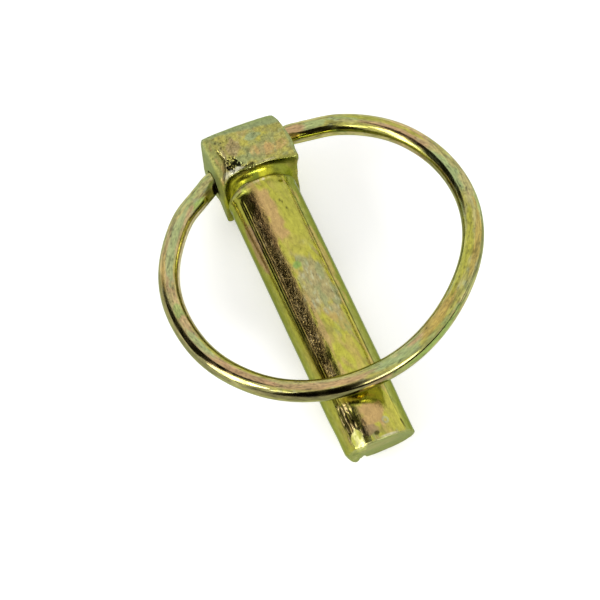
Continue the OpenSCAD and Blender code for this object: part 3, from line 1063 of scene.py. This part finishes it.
def wire_sweep(material):
    """Geometry nodes that draw a round wire along a path and close its ends."""
    tree = bpy.data.node_groups.new("wire sweep", "GeometryNodeTree")
    face = tree.interface
    face.new_socket("Path", in_out="INPUT", socket_type="NodeSocketGeometry")
    radius = face.new_socket("Wire radius", in_out="INPUT", socket_type="NodeSocketFloat")
    radius.subtype = "DISTANCE"
    face.new_socket("Sides", in_out="INPUT", socket_type="NodeSocketInt")
    face.new_socket("Wire", in_out="OUTPUT", socket_type="NodeSocketGeometry")
    net = Net(tree)
    entry = net.tree.nodes.new("NodeGroupInput")
    path, radius, sides = (Signal(net, entry.outputs[k]) for k in range(3))
    curve = net.add("GeometryNodeMeshToCurve", {}, {"Mesh": path})
    section = net.add("GeometryNodeCurvePrimitiveCircle", {}, {"Resolution": sides, "Radius": radius})
    sweep = {"Curve": curve, "Profile Curve": section, "Fill Caps": True}
    wire = net.add("GeometryNodeCurveToMesh", {}, sweep)
    smooth = net.add("GeometryNodeSetShadeSmooth", {}, {"Geometry": wire})
    whole = net.add("GeometryNodeRealizeInstances", {}, {"Geometry": smooth})
    done = net.add("GeometryNodeSetMaterial", {}, {"Geometry": whole, "Material": material})
    leave = net.tree.nodes.new("NodeGroupOutput")
    net.tree.links.new(done.socket, leave.inputs[0])
    return tree


def bake_nodes(piece, tree, values):
    """Runs a geometry tree on a piece, with its inputs set by name, and keeps the result as plain mesh."""
    modifier = piece.modifiers.new("sweep", "NODES")
    modifier.node_group = tree
    for socket in tree.interface.items_tree:
        if socket.name in values:
            modifier[socket.identifier] = values[socket.name]
    graph = bpy.context.evaluated_depsgraph_get()
    made = bpy.data.meshes.new_from_object(piece.evaluated_get(graph))
    piece.modifiers.clear()
    piece.data = made


def toward(azimuth, elevation, distance):
    """A place seen from the object at a compass angle from +Y towards +X and a height angle, in degrees."""
    a, e = math.radians(azimuth), math.radians(elevation)
    return Vector((math.sin(a) * math.cos(e), math.cos(a) * math.cos(e), math.sin(e))) * distance


def window(name, azimuth, elevation, wide, high, level, distance=2.2):
    """A soft lamp that covers the given angles, as bright as level times white."""
    lamp = bpy.data.lights.new(name, "AREA")
    lamp.shape = "RECTANGLE"
    lamp.size = 2 * distance * math.tan(math.radians(wide / 2))
    lamp.size_y = 2 * distance * math.tan(math.radians(high / 2))
    lamp.energy = level * math.pi * lamp.size * lamp.size_y
    thing = placed(name, lamp)
    thing.location = toward(azimuth, elevation, distance)
    thing.rotation_euler = thing.location.to_track_quat("Z", "Y").to_euler()
    thing.visible_camera = False


def flag(name, columns, distance=2.0):
    """A curved black card that only shows in the metal. Each of its columns has a compass angle and the
    height angles of its lower and upper end."""
    material = bpy.data.materials.get("flag cloth")
    if material is None:
        material, net = blank("flag cloth")
        cloth = net.add("ShaderNodeEmission", {}, {"Color": (0.02, 0.018, 0.012, 1)})
        net.add("ShaderNodeOutputMaterial", {}, {"Surface": cloth})
    corners = [toward(a, e, distance) for a, low, high in columns for e in (low, high)]
    quads = [(2 * i, 2 * i + 2, 2 * i + 3, 2 * i + 1) for i in range(len(columns) - 1)]
    card = mesh_object(name, corners, faces=quads)
    card.data.materials.append(material)
    card.visible_camera = False
    card.visible_diffuse = False
    card.visible_shadow = False


def light_room(scene):
    """White light from all round, a little brighter where the metal mirrors it."""
    world = bpy.data.worlds.new("room")
    world.use_nodes = True
    scene.world = world
    net = Net(world.node_tree)
    net.tree.nodes.clear()
    white = {"Color": (1, 1, 1, 1), "Strength": net.seen() * 0.3 + 0.7}
    back = net.add("ShaderNodeBackground", {}, white)
    net.add("ShaderNodeOutputWorld", {}, {"Surface": back})


def lay_floor(shade_of_floor):
    """A floor that touches the lower edge of the head and the lower side of the tip."""
    half = 1.5
    gap = 0.02 * MM
    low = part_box("pin_body")[0]
    head_edge = Vector((0, 1.0 * MM, low.z))
    tip_edge = Vector((0, -40.15 * MM, -5.0 * MM))
    run = (head_edge - tip_edge).normalized() * half
    across = Vector((half, 0, 0))
    start = head_edge - across.cross(run).normalized() * gap
    corners = [start + across * a + run * b for a, b in ((-1, -1), (1, -1), (1, 1), (-1, 1))]
    floor = mesh_object("floor", corners, faces=[(0, 1, 2, 3)])
    material, net = blank("pale floor")
    matt = net.add("ShaderNodeBsdfDiffuse", {}, {"Color": (*shade_of_floor, 1)})
    glow = net.add("ShaderNodeEmission", {}, {"Color": (1, 1, 1, 1), "Strength": net.seen() * 0.32})
    both = net.add("ShaderNodeAddShader", {}, {0: matt, 1: glow})
    net.add("ShaderNodeOutputMaterial", {}, {"Surface": both})
    floor.data.materials.append(material)


def set_camera(scene, lens):
    """A long lens that looks down on the pin, from above its left side and beyond its tip."""
    place = Vector((-42.794, -166.087, 328.844)) * MM
    right = Vector((0.9192, -0.3890, -0.0608)).normalized()
    down = Vector((-0.3769, -0.8249, -0.4213))
    steps_across = 600
    camera = bpy.data.cameras.new("camera")
    camera.lens = lens
    camera.sensor_width = 36
    camera.clip_start, camera.clip_end = 0.01, 20
    eye = placed("camera", camera)
    down = (down - right * down.dot(right)).normalized()
    half_step = 0.5 * camera.sensor_width / steps_across / camera.lens
    ahead = (right.cross(down) - (right + down) * half_step).normalized()
    right = down.cross(ahead).normalized()
    down = ahead.cross(right)
    turn = Matrix((right, -down, -ahead)).transposed()
    eye.matrix_world = Matrix.Translation(place) @ turn.to_4x4()
    scene.camera = eye


SIDE_FLAG = [(-73, 3, 34), (-62, 3, 52), (-52, 3, 58), (-44, 3, 60), (-40, 5, 50), (-36, 14, 42)]
SIDE_FLAG += [(-32, 26, 36)]
FRONT_FLAG = [(-164, 0, 58), (-150, 0, 62), (-138, 0, 66), (-126, 0, 62), (-116, 0, 58)]
LOW_FLAG = [(104, 1, 4), (130, 1, 11), (155, 1, 17), (180, 1, 19), (205, 1, 19), (230, 1, 12), (256, 1, 4)]


class LYNCHPIN_OT_studio(bpy.types.Operator):
    """Lay the floor, hang the lights and set the camera"""

    bl_idname = "lynchpin.studio"
    bl_label = "Make studio"

    def execute(self, context):
        scene = context.scene
        settings = scene.lynchpin_studio
        scene.view_settings.view_transform = "Standard"
        light_room(scene)
        window("side window", azimuth=-87, elevation=24, wide=15, high=36, level=8)
        window("small window", azimuth=-110, elevation=36, wide=10, high=10, level=6)
        window("front window", azimuth=172, elevation=28, wide=34, high=12, level=11)
        flag("side flag", SIDE_FLAG)
        flag("front flag", FRONT_FLAG)
        flag("low flag", LOW_FLAG)
        lay_floor(settings.floor)
        set_camera(scene, settings.lens)
        return {"FINISHED"}


class LYNCHPIN_PT_panel(bpy.types.Panel):
    """Lists the pieces of the lynch pin"""

    bl_idname = "LYNCHPIN_PT_panel"
    bl_label = "Lynch Pin"
    bl_space_type = "VIEW_3D"
    bl_region_type = "UI"
    bl_category = "Lynch Pin"

    def draw(self, context):
        for operator, groups in STEPS:
            column = self.layout.column(align=True)
            column.operator(operator.bl_idname)
            for group in groups:
                settings = getattr(context.scene, group)
                for name in settings.bl_rna.properties.keys():
                    if name not in ("rna_type", "name"):
                        column.prop(settings, name)


STEPS = [
    (LYNCHPIN_OT_pin, ("lynchpin_finish", "lynchpin_pin")),
    (LYNCHPIN_OT_ring, ("lynchpin_ring",)),
    (LYNCHPIN_OT_studio, ("lynchpin_studio",)),
]
GROUPS = {
    "lynchpin_pin": PinSettings,
    "lynchpin_ring": RingSettings,
    "lynchpin_finish": FinishSettings,
    "lynchpin_studio": StudioSettings,
}


def register():
    for group in GROUPS.values():
        bpy.utils.register_class(group)
    for operator, _ in STEPS:
        bpy.utils.register_class(operator)
    bpy.utils.register_class(LYNCHPIN_PT_panel)
    for name, group in GROUPS.items():
        setattr(bpy.types.Scene, name, bpy.props.PointerProperty(type=group))


def unregister():
    for name in GROUPS:
        delattr(bpy.types.Scene, name)
    bpy.utils.unregister_class(LYNCHPIN_PT_panel)
    for operator, _ in reversed(STEPS):
        bpy.utils.unregister_class(operator)
    for group in reversed(list(GROUPS.values())):
        bpy.utils.unregister_class(group)


def main():
    register()
    bpy.ops.lynchpin.pin()
    bpy.ops.lynchpin.ring()
    bpy.ops.lynchpin.studio()


if __name__ == "__main__":
    main()
